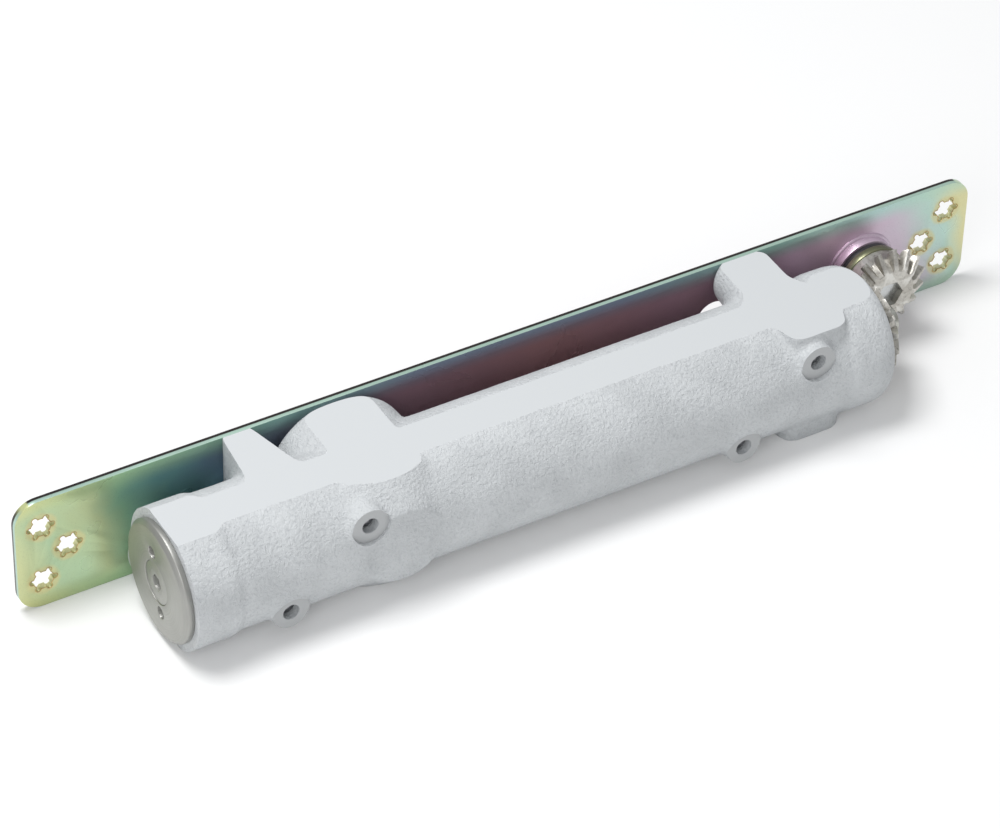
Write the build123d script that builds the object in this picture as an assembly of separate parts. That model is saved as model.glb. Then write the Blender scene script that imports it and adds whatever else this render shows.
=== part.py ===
from build123d import *
import math
import os

# A door closer that is let into a door leaf.
# X runs along the closer, Y towards the outside of the plate, Z across the door's thickness.
# The origin is the centre of the plate's outer face. All sizes are in millimetres.

# Plate and the closer's place on it
plate_length = 344.0
plate_width = 42.0
plate_thick = 2.4
plate_corner = 8.0
axis_depth = 28.0
spindle_x = 130.6

# Star-shaped fixing holes at both ends of the plate
star_end_inset = 8.5
star_middle_inset = 17.3
star_half_spacing = 10.6
star_core_radius = 3.4
star_lobe_radius = 0.98
star_lobe_pitch_radius = 3.75
star_lobes = 6

# Casting
casting_left = -136.2
casting_right = 114.3
body_radius = 22.0
end_radius = 23.0
left_collar_length = 14.2
right_collar_length = 16.8
collar_slope = 1.5
casting_end_round = 7.0

# Large boss across the casting
boss_x = -65.0
boss_radius = 24.0
boss_rear_round = 4.5
boss_cone_length = 13.0
boss_front_radius = 13.2
boss_front_chamfer = 0.8

# Squared block near the spindle end
block_left = 75.6
block_right = 96.8
block_front_reach = 16.5
block_draft = 1.8
block_corner = 4.0

# Lugs that meet the plate: centre along X, centre along Z, radius
lug_round = 2.4
lug_flare = 2.6
lug_flare_length = 6.0
end_lug = (-127.0, -11.4, 9.4)
side_lug = (-97.1, 14.0, 6.1)
side_lug_drop = 12.0
square_lug = (83.2, 14.6, 10.7)

# Four small ports with a bore, on the side away from the plate
port_half_spacing = 12.2
port_positions = ((-77.4, 1), (-103.8, -1), (82.8, 1), (56.9, -1))
port_reach = 22.5
port_radius = 6.0
port_foot_radius = 9.4
port_foot_length = 8.0
port_straight = 2.6
port_bore_radius = 2.8
port_bore_depth = 7.6

# Bores inside the casting
spring_bore_radius = 17.5
spring_bore_end = 4.0
slide_bore_radius = 15.5
slide_bore_end = 68.0
shaft_hole_radius = 8.4
bush_bore_radius = 11.0
bush_bore_start = 70.0
seal_bore_radius = 14.0
seal_bore_start = 103.0

# Clearances
running_gap = 0.05
piston_gap = 0.08
seat_gap = 0.1
loose_gap = 0.3

# End cap
cap_flange_thick = 3.0
cap_flange_radius = 20.1
cap_chamfer = 1.3
cap_plug_length = 14.0
cap_ring_x = -128.6
spanner_hole_radius = 2.1
spanner_hole_pitch_radius = 10.6
spanner_hole_depth = 5.0
spanner_hole_angle = 12.6

# Spring adjusting screw
screw_head_radius = 7.15
screw_sink = 0.2
screw_collar_radius = 10.0
screw_collar_thick = 3.0
screw_shank_radius = 5.0
screw_shank_length = 35.0
screw_ring_x = -131.5
screw_hex = 5.0
screw_hex_depth = 5.0
adjust_turns = 5
adjust_pitch = 1.5

# Spring seat and spring
seat_thick = 6.0
seat_spigot_radius = 9.0
seat_spigot_length = 4.5
spring_wire_radius = 2.1
spring_mean_radius = 13.4
spring_turns = 9

# Piston with the follower pin and its rollers
piston_left = -16.0
piston_head_length = 16.0
piston_skirt_length = 48.0
piston_skirt_bore = 13.2
piston_spigot_length = 5.0
piston_seal_offset = 8.0
piston_seal_depth = 2.2
piston_seal_width = 3.0
piston_stroke = 24.0
valve_pocket_radius = 4.0
valve_pocket_depth = 10.0
valve_port_radius = 1.5
valve_ball_radius = 2.2
valve_ball_lift = 0.8
valve_sleeve_length = 5.8
pin_offset = 42.0
pin_radius = 2.5
pin_reach = 17.1
guide_width_gap = 0.12
roller_radius = 4.0
roller_start = 9.1
roller_length = 3.2

# Cam shaft
opening_angle = 120.0
sleeve_left = 4.0
sleeve_outer = 12.0
sleeve_inner = 9.0
sleeve_floor = 60.0
slot_width = 9.0
slot_end_angle = 12.0
cam_flange_radius = 15.2
cam_flange_thick = 4.0
journal_radius = 8.0
washer_thick = 1.8
shaft_hex = 8.96

# Bearings and seal of the cam shaft
bush_length = 14.0
outer_bush_start = 88.0
lip_seal_thick = 5.6
retainer_thick = 5.2
retainer_bore = 11.7
retainer_notch = 3.0

# Bevel gears: one pattern is used twice, on crossing axes
gear_teeth = 16
gear_pitch_radius = 14.6
gear_pressure_angle = 20.0
gear_tooth_play = 0.30
gear_hub_radius = 11.2
gear_hub_length = 5.2
gear_hex = 9.02
gear_root_share = 1.25
gear_toe_plane_share = 0.685
gear_toe_crest_share = 0.706
gear_toe_root_share = 0.63
gap_large_share = 1.25
gap_small_share = 0.45

# Fixing of the lower gear
gear_washer_radius = 7.6
gear_washer_thick = 1.2
gear_screw_head_radius = 4.4
gear_screw_head_thick = 3.0
gear_screw_radius = 2.4
gear_screw_length = 10.0
gear_screw_hex = 3.0
gear_screw_seat_gap = 0.7

# Spindle, its bush and the rings behind the upper gear
collar_outer_radius = 11.6
collar_inner_radius = 9.9
collar_height = 3.6
collar_foot_round = 0.9
spindle_radius = 8.0
spindle_out = 1.6
spindle_hex_recess = 2.0
spindle_socket_hex = 8.0
spindle_socket_depth = 8.0
spindle_thread_radius = 3.4
spindle_thread_depth = 9.0
clip_groove_radius = 7.3
clip_outer_radius = 9.6
clip_thick = 1.0
clip_opening = 50.0
black_ring_radius = 10.9
black_ring_thick = 1.9
flange_radius = 11.5
flange_thick = 2.5

# Valve screws
valve_radius = 3.5
valve_bore_gap = 0.1
valve_length = 7.0
valve_bore_depth = 8.5
valve_sink = 1.0
valve_hex = 3.0
valve_hex_depth = 3.0
valve_ring_offset = 4.6
boss_valve_offset = 8.0
backcheck_x = 74.5
access_hole_radius = 4.2
backcheck_hole_radius = 6.0

# Plate screws
plate_screw_radius = 2.45
plate_screw_head_radius = 4.7
plate_screw_head_depth = 2.5
plate_screw_length = 14.0
plate_screw_hex = 3.0
boss_screw_z = -14.0

# Rings of round section
ring_section_radius = 0.5

# Derived places
inner_face_y = -plate_thick
body_y = inner_face_y - axis_depth
flat_z = plate_width / 2
boss_front_y = body_y - end_radius
cap_face_x = casting_left - cap_flange_thick
cap_inner_x = casting_left + cap_plug_length
collar_right_x = cap_inner_x + 2 * seat_gap + screw_collar_thick
seat_left_x = collar_right_x + loose_gap
seat_right_x = seat_left_x + seat_thick
pin_x = piston_left + piston_head_length + pin_offset
cam_lead = piston_stroke / math.radians(opening_angle)
gear_module = 2 * gear_pitch_radius / gear_teeth
gear_back = gear_pitch_radius
gear_addendum_rise = gear_module / math.sqrt(2)
gear_root_drop = gear_root_share * gear_addendum_rise
gear_toe_plane = gear_toe_plane_share * gear_pitch_radius
gear_toe_crest = gear_toe_crest_share * gear_pitch_radius
gear_toe_root = gear_toe_root_share * gear_pitch_radius
hub_end = gear_back + gear_hub_length
collar_end_y = inner_face_y - collar_height


def x_rod(radius, x_from, x_to, y=body_y, z=0.0):
    """A round bar along X."""
    middle = (x_from + x_to) / 2
    return Pos(middle, y, z) * Rot(0, 90, 0) * Cylinder(radius, abs(x_to - x_from))


def y_rod(radius, y_from, y_to, x, z=0.0):
    """A round bar along Y."""
    middle = (y_from + y_to) / 2
    return Pos(x, middle, z) * Rot(90, 0, 0) * Cylinder(radius, abs(y_to - y_from))


def x_tube(outer, inner, x_from, x_to):
    return x_rod(outer, x_from, x_to) - x_rod(inner, x_from - 1, x_to + 1)


def y_tube(outer, inner, y_from, y_to, x, z=0.0):
    low, high = sorted((y_from, y_to))
    return y_rod(outer, low, high, x, z) - y_rod(inner, low - 1, high + 1, x, z)


def turned_on_x(outline):
    """Revolve a closed outline, given as a wire of (x, radius), about the body's axis."""
    face = Pos(0, body_y, 0) * make_face(Plane.XZ * outline)
    return revolve(face, Axis((0, body_y, 0), (1, 0, 0)))


def turned_on_y(outline, x, z=0.0):
    """Revolve a closed outline, given as a wire of (radius, y), about a line along Y."""
    face = Pos(x, 0, z) * make_face(outline)
    return revolve(face, Axis((x, 0, z), (0, 1, 0)))


def hex_x(across_flats, x_from, x_to):
    """A hexagonal bar along the body's axis."""
    plane = Plane(origin=(x_from, body_y, 0), x_dir=(0, 1, 0), z_dir=(1, 0, 0))
    return extrude(plane * RegularPolygon(across_flats / 2, 6, major_radius=False), x_to - x_from)


def hex_y(across_flats, y_from, y_to, x, z=0.0):
    """A hexagonal bar along Y that goes down from y_from to y_to."""
    plane = Plane(origin=(x, y_from, z), x_dir=(1, 0, 0), z_dir=(0, -1, 0))
    return extrude(plane * RegularPolygon(across_flats / 2, 6, major_radius=False), y_from - y_to)


def ring_section(mean_radius):
    """The section of a seal ring: an eight-sided stand-in for a round cord, as (radius, offset)."""
    corners = []
    for number in range(8):
        angle = math.radians(22.5 + 45 * number)
        corners.append((mean_radius + ring_section_radius * math.cos(angle),
                        ring_section_radius * math.sin(angle)))
    return corners


def ring_on_x(mean_radius, x):
    outline = Polyline(*[(x + offset, radius) for radius, offset in ring_section(mean_radius)], close=True)
    return turned_on_x(outline)


def ring_on_y(mean_radius, y, x, z=0.0):
    outline = Polyline(*[(radius, y + offset) for radius, offset in ring_section(mean_radius)], close=True)
    return turned_on_y(outline, x, z)


# Plate


def plate_screw_places():
    return (
        (end_lug[0], end_lug[1]),
        (side_lug[0], side_lug[1]),
        (boss_x, boss_screw_z),
        (square_lug[0], square_lug[1]),
    )


def star_places():
    places = []
    for side in (-1, 1):
        for z in (-star_half_spacing, star_half_spacing):
            places.append((side * (plate_length / 2 - star_end_inset), z))
        places.append((side * (plate_length / 2 - star_middle_inset), 0.0))
    return places


def star_hole(x, z):
    """A round hole with small lobes around it, right through the plate."""
    cutter = y_rod(star_core_radius, 1, inner_face_y - 1, x, z)
    for number in range(star_lobes):
        angle = 2 * math.pi * number / star_lobes
        lobe_x = x + star_lobe_pitch_radius * math.cos(angle)
        lobe_z = z + star_lobe_pitch_radius * math.sin(angle)
        cutter += y_rod(star_lobe_radius, 1, inner_face_y - 1, lobe_x, lobe_z)
    return cutter


def countersunk(radius, head_radius, depth, x, z):
    """The space of a countersunk screw whose head is flush with the plate's outer face."""
    cone_end = -(head_radius - radius)
    outline = Polyline(
        (0, 0.5), (head_radius, 0.5), (head_radius, 0), (radius, cone_end), (radius, -depth), (0, -depth),
        close=True,
    )
    return turned_on_y(outline, x, z)


def drawn_collar():
    """The collar that is drawn out of the plate towards the gears, with a round foot."""
    foot = collar_foot_round
    outline = Polyline((0, inner_face_y + 0.5), (collar_outer_radius + foot, inner_face_y + 0.5),
                       (collar_outer_radius + foot, inner_face_y))
    outline += RadiusArc((collar_outer_radius + foot, inner_face_y),
                         (collar_outer_radius, inner_face_y - foot), foot)
    outline += Polyline((collar_outer_radius, inner_face_y - foot), (collar_outer_radius, collar_end_y),
                        (0, collar_end_y), (0, inner_face_y + 0.5))
    return turned_on_y(outline, spindle_x)


def mounting_plate():
    face = Plane.XZ * RectangleRounded(plate_length, plate_width, plate_corner)
    plate = extrude(face, plate_thick)
    plate += drawn_collar()
    plate -= y_rod(collar_inner_radius, 1, collar_end_y - 1, spindle_x)
    for x, z in star_places():
        plate -= star_hole(x, z)
    for x, z in plate_screw_places():
        plate -= countersunk(plate_screw_radius + valve_bore_gap, plate_screw_head_radius + valve_bore_gap,
                             plate_thick + 1, x, z)
    for x, _ in boss_valve_places():
        plate -= y_rod(access_hole_radius, 1, inner_face_y - 1, x)
    plate -= y_rod(backcheck_hole_radius, 1, inner_face_y - 1, backcheck_x)
    return plate


def plate_screws():
    screws = []
    for x, z in plate_screw_places():
        screw = countersunk(plate_screw_radius, plate_screw_head_radius, plate_screw_length, x, z)
        screw -= Pos(x, 0.5, z) * Box(20, 1, 20)
        screw -= hex_y(plate_screw_hex, 0.5, -plate_screw_head_depth, x, z)
        screws.append(screw)
    return Compound(children=screws)


# Casting


def casting_body():
    """The long round body with a thicker collar at each end."""
    left = casting_left
    right = casting_right
    bend = casting_end_round
    outline = Polyline(
        (left, 0), (left, end_radius - 0.6), (left + 0.6, end_radius), (left + left_collar_length, end_radius),
        (left + left_collar_length + collar_slope, body_radius),
        (right - right_collar_length - collar_slope, body_radius),
        (right - right_collar_length, end_radius), (right - bend, end_radius),
    )
    outline += RadiusArc((right - bend, end_radius), (right, end_radius - bend), bend)
    outline += Polyline((right, end_radius - bend), (right, 0), (left, 0))
    return turned_on_x(outline)


def cross_boss():
    """The large round boss that reaches from the plate to the flat disc on the far side."""
    rear = inner_face_y
    front = boss_front_y
    bend = boss_rear_round
    chamfer = boss_front_chamfer
    outline = Polyline((0, rear), (boss_radius - bend, rear))
    outline += RadiusArc((boss_radius - bend, rear), (boss_radius, rear - bend), bend)
    outline += Polyline(
        (boss_radius, rear - bend), (boss_radius, front + boss_cone_length), (boss_front_radius, front + chamfer),
        (boss_front_radius - chamfer, front), (0, front), (0, rear),
    )
    return turned_on_y(outline, boss_x)


def lug(x, z, radius):
    """A round lug from the body to the plate, with a rounded tip and a flared foot."""
    tip = inner_face_y
    foot_end = body_y + math.sqrt(body_radius ** 2 - z ** 2) - 2
    foot_start = foot_end + lug_flare_length
    outline = Polyline((0, tip), (radius - lug_round, tip))
    outline += RadiusArc((radius - lug_round, tip), (radius, tip - lug_round), lug_round)
    outline += Polyline(
        (radius, tip - lug_round), (radius, foot_start), (radius + lug_flare, foot_end),
        (radius + lug_flare, body_y), (0, body_y), (0, tip),
    )
    return turned_on_y(outline, x, z)


def tall_lug(x, z, radius, drop):
    """The narrow lug: two round lugs with the space between them filled."""
    shape = lug(x, z, radius) + lug(x, z - drop, radius)
    reach = inner_face_y - body_y
    middle = Pos(x, inner_face_y - reach / 2, z - drop / 2) * Box(2 * radius, reach, drop)
    rounded = fillet(middle.edges().filter_by(Axis.Z).group_by(Axis.Y)[-1], lug_round)
    return shape + rounded


def square_block():
    """The squared part of the body, with sloping sides and rounded corners."""
    front = body_y - block_front_reach
    corners = Polyline(
        (block_left - block_draft, body_y), (block_left, front), (block_right, front),
        (block_right + block_draft, body_y), close=True,
    )
    block = Pos(0, 0, -flat_z) * extrude(make_face(corners), plate_width)
    front_edges = block.edges().filter_by(Axis.Z).group_by(Axis.Y)[0]
    return fillet(front_edges, block_corner)


def port(x, side):
    """A small port: a round stub with a wide foot."""
    face = body_y - port_reach
    z = side * port_half_spacing
    straight_end = face + port_straight
    foot_end = straight_end + port_foot_length
    outline = Polyline(
        (0, face), (port_radius - 0.3, face), (port_radius, face + 0.3), (port_radius, straight_end),
        (port_radius + (port_foot_radius - port_radius) * 0.3, straight_end + port_foot_length * 0.55),
        (port_foot_radius, foot_end), (port_foot_radius, body_y - 2), (0, body_y - 2),
        close=True,
    )
    return turned_on_y(outline, x, z)


def boss_valve_places():
    return ((boss_x - boss_valve_offset, 0.0), (boss_x + boss_valve_offset, 0.0))


def backcheck_seat_y():
    return body_y + body_radius


def casting_bores():
    """Everything that is machined along the body's axis."""
    cut = x_rod(spring_bore_radius, casting_left - 1, spring_bore_end)
    cut += x_rod(slide_bore_radius, spring_bore_end - 1, slide_bore_end)
    cut += x_rod(shaft_hole_radius, slide_bore_end - 1, bush_bore_start + 1)
    cut += x_rod(bush_bore_radius, bush_bore_start, seal_bore_start + 1)
    cut += x_rod(seal_bore_radius, seal_bore_start, casting_right + 1)
    guide_length = pin_x + pin_radius + 2 - spring_bore_end
    guide_half = pin_reach + seat_gap + 0.2
    guide = Pos(spring_bore_end + guide_length / 2, body_y, 0) * Box(
        guide_length, 2 * guide_half, 2 * (pin_radius + guide_width_gap))
    return cut + guide


def housing():
    shape = casting_body() + cross_boss() + square_block()
    shape += lug(*end_lug)
    shape += tall_lug(*side_lug, side_lug_drop)
    shape += lug(*square_lug)
    for x, side in port_positions:
        shape += port(x, side)
    length = casting_right - casting_left
    slab = Pos((casting_left + casting_right) / 2, body_y, 0) * Box(length, 4 * end_radius, plate_width)
    shape = shape & slab
    shape -= casting_bores()
    for x, side in port_positions:
        face = body_y - port_reach
        shape -= y_rod(port_bore_radius, face - 1, face + port_bore_depth, x, side * port_half_spacing)
    for x, z in boss_valve_places():
        shape -= y_rod(valve_radius + valve_bore_gap, inner_face_y + 1, inner_face_y - valve_bore_depth, x, z)
    seat = backcheck_seat_y()
    shape -= y_rod(valve_radius + valve_bore_gap, seat + 3, seat - valve_bore_depth, backcheck_x)
    for x, z in plate_screw_places():
        shape -= y_rod(plate_screw_radius + running_gap, inner_face_y + 1, -plate_screw_length - 0.5, x, z)
    return shape


def ball_plugs():
    """Balls that close the drilled ports, at the bottom of each bore."""
    balls = []
    radius = port_bore_radius - running_gap
    for x, side in port_positions:
        y = body_y - port_reach + port_bore_depth - radius - running_gap
        balls.append(Pos(x, y, side * port_half_spacing) * Sphere(radius))
    return Compound(children=balls)


# Spring end


def end_cap():
    flange = cap_flange_radius
    plug = spring_bore_radius - seat_gap
    outline = Polyline(
        (cap_face_x, 0), (cap_face_x, flange - cap_chamfer), (cap_face_x + cap_chamfer, flange),
        (casting_left, flange), (casting_left, plug), (cap_inner_x, plug), (cap_inner_x, 0),
        close=True,
    )
    cap = turned_on_x(outline)
    cap -= x_rod(screw_head_radius + seat_gap, cap_face_x - 1, cap_inner_x + 1)
    cap -= ring_groove(spring_bore_radius, cap_ring_x)
    for turn in (0.0, 180.0):
        angle = math.radians(spanner_hole_angle + turn)
        y = body_y + spanner_hole_pitch_radius * math.sin(angle)
        z = spanner_hole_pitch_radius * math.cos(angle)
        cap -= x_rod(spanner_hole_radius, cap_face_x - 1, cap_face_x + spanner_hole_depth, y, z)
    return cap


def ring_groove(bore, x):
    """The groove of a round-section ring that seals against a bore of the given radius."""
    inner = bore - 2 * ring_section_radius - 3 * running_gap
    width = 2 * ring_section_radius + 2 * seat_gap
    return x_tube(bore + 1, inner, x - width / 2, x + width / 2)


def ring_for(bore, x):
    return ring_on_x(bore - ring_section_radius - running_gap, x)


def end_cap_seal():
    return ring_for(spring_bore_radius, cap_ring_x)


def adjusting_screw():
    outline = Polyline(
        (cap_face_x + screw_sink, 0), (cap_face_x + screw_sink, screw_head_radius),
        (cap_inner_x + seat_gap, screw_head_radius), (cap_inner_x + 2 * seat_gap, screw_collar_radius),
        (collar_right_x, screw_collar_radius), (collar_right_x, screw_shank_radius),
        (collar_right_x + screw_shank_length, screw_shank_radius), (collar_right_x + screw_shank_length, 0),
        close=True,
    )
    screw = turned_on_x(outline)
    screw -= hex_x(screw_hex, cap_face_x - 1, cap_face_x + screw_sink + screw_hex_depth)
    screw -= ring_groove(screw_head_radius + seat_gap, screw_ring_x)
    return screw


def adjusting_screw_seal():
    return ring_for(screw_head_radius + seat_gap, screw_ring_x)


def spring_seat():
    seat = x_rod(spring_bore_radius - loose_gap, seat_left_x, seat_right_x)
    seat += x_rod(seat_spigot_radius, seat_right_x - 1, seat_right_x + seat_spigot_length)
    return seat - x_rod(screw_shank_radius + running_gap, seat_left_x - 1, seat_right_x + seat_spigot_length + 1)


def main_spring():
    """A coil of tilted half turns, each one a circular arc that runs on into the next."""
    start = seat_right_x + spring_wire_radius + running_gap
    stop = piston_left - spring_wire_radius - running_gap
    rise = (stop - start) / spring_turns / 2
    path = []
    for number in range(2 * spring_turns):
        side = 1 if number % 2 == 0 else -1
        low = number * rise
        tip = math.hypot(spring_mean_radius, rise / 2)
        path.append(ThreePointArc((side * spring_mean_radius, 0, low), (0, side * tip, low + rise / 2),
                                  (-side * spring_mean_radius, 0, low + rise)))
    wire = Wire(path)
    section = Plane(origin=wire @ 0, z_dir=wire % 0) * Circle(spring_wire_radius)
    coil = sweep(section, path=wire)
    return Plane(origin=(start, body_y, 0), x_dir=(0, 1, 0), z_dir=(1, 0, 0)) * coil


# Piston and cam


def piston():
    head_right = piston_left + piston_head_length
    skirt_end = head_right + piston_skirt_length
    shape = x_rod(spring_bore_radius - piston_gap, piston_left, head_right)
    shape += x_rod(seat_spigot_radius, piston_left - piston_spigot_length, piston_left + 1)
    shape += x_rod(slide_bore_radius - piston_gap, head_right - 1, skirt_end)
    shape -= x_rod(piston_skirt_bore, head_right, skirt_end + 1)
    seal_x = piston_left + piston_seal_offset
    shape -= x_tube(spring_bore_radius + 1, spring_bore_radius - piston_seal_depth,
                    seal_x - piston_seal_width / 2, seal_x + piston_seal_width / 2)
    shape -= x_rod(valve_pocket_radius, head_right - valve_pocket_depth, head_right + 1)
    shape -= x_rod(valve_port_radius, piston_left - piston_spigot_length - 1, head_right)
    shape -= y_rod(pin_radius, body_y - pin_reach - 1, body_y + pin_reach + 1, pin_x)
    return shape


def piston_seal():
    seal_x = piston_left + piston_seal_offset
    half = piston_seal_width / 2 - seat_gap
    outer = spring_bore_radius - running_gap
    inner = spring_bore_radius - piston_seal_depth + running_gap
    return x_tube(outer, inner, seal_x - half, seal_x + half)


def valve_ball_x():
    seat_x = piston_left + piston_head_length - valve_pocket_depth
    return seat_x + math.sqrt(valve_ball_radius ** 2 - valve_port_radius ** 2) + running_gap


def check_valve():
    """The sleeve that holds the ball on its seat in the piston."""
    seat_x = piston_left + piston_head_length - valve_pocket_depth
    start = seat_x + seat_gap
    stop = start + valve_sleeve_length
    wall = valve_ball_x() + valve_ball_radius + valve_ball_lift + seat_gap
    sleeve = x_rod(valve_pocket_radius - running_gap, start, stop)
    sleeve -= x_rod(valve_ball_radius + 0.2, start - 1, wall)
    return sleeve - x_rod(1.0, start, stop + 1)


def check_valve_ball():
    return Pos(valve_ball_x(), body_y, 0) * Sphere(valve_ball_radius)


def roller_pin():
    return y_rod(pin_radius - 0.02, body_y - pin_reach, body_y + pin_reach, pin_x)


def cam_roller(side):
    near = body_y + side * roller_start
    far = body_y + side * (roller_start + roller_length)
    return y_tube(roller_radius, pin_radius + running_gap, near, far, pin_x)


def cam_slot():
    """One helical slot, cut by a bar that follows the roller's path round the sleeve."""
    mean = (sleeve_outer + sleeve_inner) / 2
    sweep_angle = opening_angle + 2 * slot_end_angle
    height = cam_lead * math.radians(sweep_angle)
    path = Helix(pitch=2 * math.pi * cam_lead, height=height, radius=mean)
    section = Plane(origin=path @ 0, x_dir=(1, 0, 0), z_dir=path % 0) * Rectangle(
        2 * (sleeve_outer - sleeve_inner), slot_width)
    cutter = sweep(section, path=path, is_frenet=True)
    for share in (0.0, 1.0):
        angle = sweep_angle * share
        end_plane = Plane(origin=(0, 0, height * share), x_dir=(0, 0, 1),
                          z_dir=(math.cos(math.radians(angle)), math.sin(math.radians(angle)), 0))
        cutter += extrude(end_plane * Circle(slot_width / 2), 2 * sleeve_outer)
    start_angle = -(opening_angle + slot_end_angle)
    start_height = -cam_lead * math.radians(opening_angle + slot_end_angle)
    return Pos(0, 0, start_height) * Rot(0, 0, start_angle) * cutter


def camshaft():
    hex_end = spindle_x - gear_toe_plane - gear_screw_seat_gap
    flange_left = slide_bore_end - washer_thick - 2 * seat_gap - cam_flange_thick
    flange_right = flange_left + cam_flange_thick
    shape = x_rod(sleeve_outer, sleeve_left, flange_left + 1)
    shape += x_rod(cam_flange_radius, flange_left, flange_right)
    shape -= x_rod(sleeve_inner, sleeve_left - 1, sleeve_floor)
    slot_plane = Plane(origin=(pin_x, body_y, 0), x_dir=(0, 1, 0), z_dir=(1, 0, 0))
    slot = cam_slot()
    for turn in (0, 180):
        shape -= slot_plane * (Rot(0, 0, turn) * slot)
    shape += x_rod(journal_radius, flange_right - 1, spindle_x - hub_end)
    shape += hex_x(shaft_hex, spindle_x - hub_end - 1, hex_end)
    return shape - x_rod(gear_screw_radius + running_gap, hex_end - gear_screw_length, hex_end + 1)


def thrust_washer():
    right = slide_bore_end - seat_gap
    return x_tube(cam_flange_radius, shaft_hole_radius, right - washer_thick, right)


def shaft_bush(start):
    return x_tube(bush_bore_radius - running_gap, journal_radius + running_gap, start, start + bush_length)


def shaft_seal():
    start = seal_bore_start + seat_gap
    stop = start + lip_seal_thick
    shell = x_tube(seal_bore_radius - running_gap, seal_bore_radius - 1.6, start, stop)
    web = x_tube(seal_bore_radius - 1, journal_radius + running_gap, start, start + 1.6)
    lip = x_tube(journal_radius + 1.6, journal_radius + running_gap, start + 1, stop - 0.6)
    return shell + web + lip


def bearing_retainer():
    """The threaded ring that holds the seal and the bushes, with two spanner notches."""
    start = seal_bore_start + 2 * seat_gap + lip_seal_thick
    stop = start + retainer_thick
    ring = x_tube(seal_bore_radius - running_gap, retainer_bore, start, stop)
    notch = Pos(stop, body_y, 0) * Box(2 * 1.5, 4 * seal_bore_radius, retainer_notch)
    return ring - notch


# Bevel gears


def involute_point(base_radius, radius, offset):
    """A point of an involute flank at the given radius, turned by offset from the tooth's centre."""
    angle = math.acos(base_radius / radius)
    turn = math.tan(angle) - angle
    return radius * math.sin(turn + offset), radius * math.cos(turn + offset)


def gap_section():
    """The space between two teeth at the large end, as a face in (tangent, depth)."""
    virtual_radius = gear_pitch_radius * math.sqrt(2)
    virtual_teeth = gear_teeth * math.sqrt(2)
    pressure = math.radians(gear_pressure_angle)
    base = virtual_radius * math.cos(pressure)
    root = virtual_radius - gear_root_share * gear_module
    top = virtual_radius + 1.6 * gear_module
    play = gear_tooth_play / (2 * virtual_radius)
    half_gap = math.pi / (2 * virtual_teeth) + play
    roll = math.tan(pressure) - pressure
    offset = half_gap - roll
    lowest, middle, highest = [involute_point(base, radius, offset)
                               for radius in (base * 1.0005, (base + top) / 2, top)]
    bottom_half = lowest[0] * root / base * 0.96
    depths = [point[1] - virtual_radius for point in (lowest, middle, highest)]
    right = ThreePointArc((lowest[0], depths[0]), (middle[0], depths[1]), (highest[0], depths[2]))
    left = ThreePointArc((-highest[0], depths[2]), (-middle[0], depths[1]), (-lowest[0], depths[0]))
    floor = Polyline((-lowest[0], depths[0]), (-bottom_half, root - virtual_radius),
                     (bottom_half, root - virtual_radius), (lowest[0], depths[0]))
    lid = Line((highest[0], depths[2]), (-highest[0], depths[2]))
    return make_face(right + lid + left + floor)


def tooth_gap():
    """The gap as a cone of that section, from past the large end to past the small end."""
    section = gap_section()
    faces = []
    for share in (gap_large_share, gap_small_share):
        place = gear_pitch_radius * share
        plane = Plane(origin=(place, 0, place), x_dir=(0, -1, 0), z_dir=(1, 0, 1))
        faces.append(plane * scale(section, share))
    return loft(faces, ruled=True)


def gear_blank():
    """The turned blank, with the cones' common point at the origin and the hub up along Z."""
    crest_radius = gear_pitch_radius + gear_addendum_rise
    crest_height = gear_pitch_radius - gear_addendum_rise
    outline = Polyline(
        (0, gear_toe_plane), (gear_toe_crest, gear_toe_plane), (crest_radius, crest_height),
        (gear_pitch_radius, gear_back), (gear_hub_radius, gear_back), (gear_hub_radius, hub_end), (0, hub_end),
        close=True,
    )
    return revolve(make_face(Plane.XZ * outline), Axis.Z)


def gear_core():
    """The cone that the gaps end on: it leaves them shallow at the small end."""
    root_at_back = gear_back * (gear_pitch_radius - gear_root_drop) / (gear_pitch_radius + gear_root_drop)
    outline = Polyline(
        (0, gear_toe_plane), (gear_toe_root, gear_toe_plane), (root_at_back, gear_back), (0, gear_back),
        close=True,
    )
    return revolve(make_face(Plane.XZ * outline), Axis.Z)


def bevel_gear(first_gap_turn):
    """A straight bevel gear along Z. The first gap is turned from +X by the given angle."""
    gear = gear_blank()
    gap = tooth_gap()
    step = 360.0 / gear_teeth
    for number in range(gear_teeth):
        gear -= Rot(0, 0, first_gap_turn + number * step) * gap
    gear += gear_core()
    bore = extrude(RegularPolygon(gear_hex / 2, 6, major_radius=False), 2 * hub_end)
    return gear - bore


def upper_bevel_gear():
    gear = bevel_gear(180.0)
    return Plane(origin=(spindle_x, body_y, 0), x_dir=(1, 0, 0), z_dir=(0, 1, 0)) * gear


def lower_bevel_gear():
    gear = bevel_gear(180.0 / gear_teeth)
    return Plane(origin=(spindle_x, body_y, 0), x_dir=(0, 1, 0), z_dir=(-1, 0, 0)) * gear


def lower_gear_face():
    return spindle_x - gear_toe_plane


def lower_gear_washer():
    left = lower_gear_face() + running_gap
    return x_tube(gear_washer_radius, gear_screw_radius + seat_gap, left, left + gear_washer_thick)


def lower_gear_screw():
    head_left = lower_gear_face() + 2 * running_gap + gear_washer_thick
    head_right = head_left + gear_screw_head_thick
    shank_left = lower_gear_face() - gear_screw_seat_gap - gear_screw_length + 0.5
    screw = x_rod(gear_screw_head_radius, head_left, head_right)
    screw += x_rod(gear_screw_radius, shank_left, head_left + 1)
    return screw - hex_x(gear_screw_hex, head_right - 2, head_right + 1)


# Spindle


def gear_back_y():
    return body_y + hub_end


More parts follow.
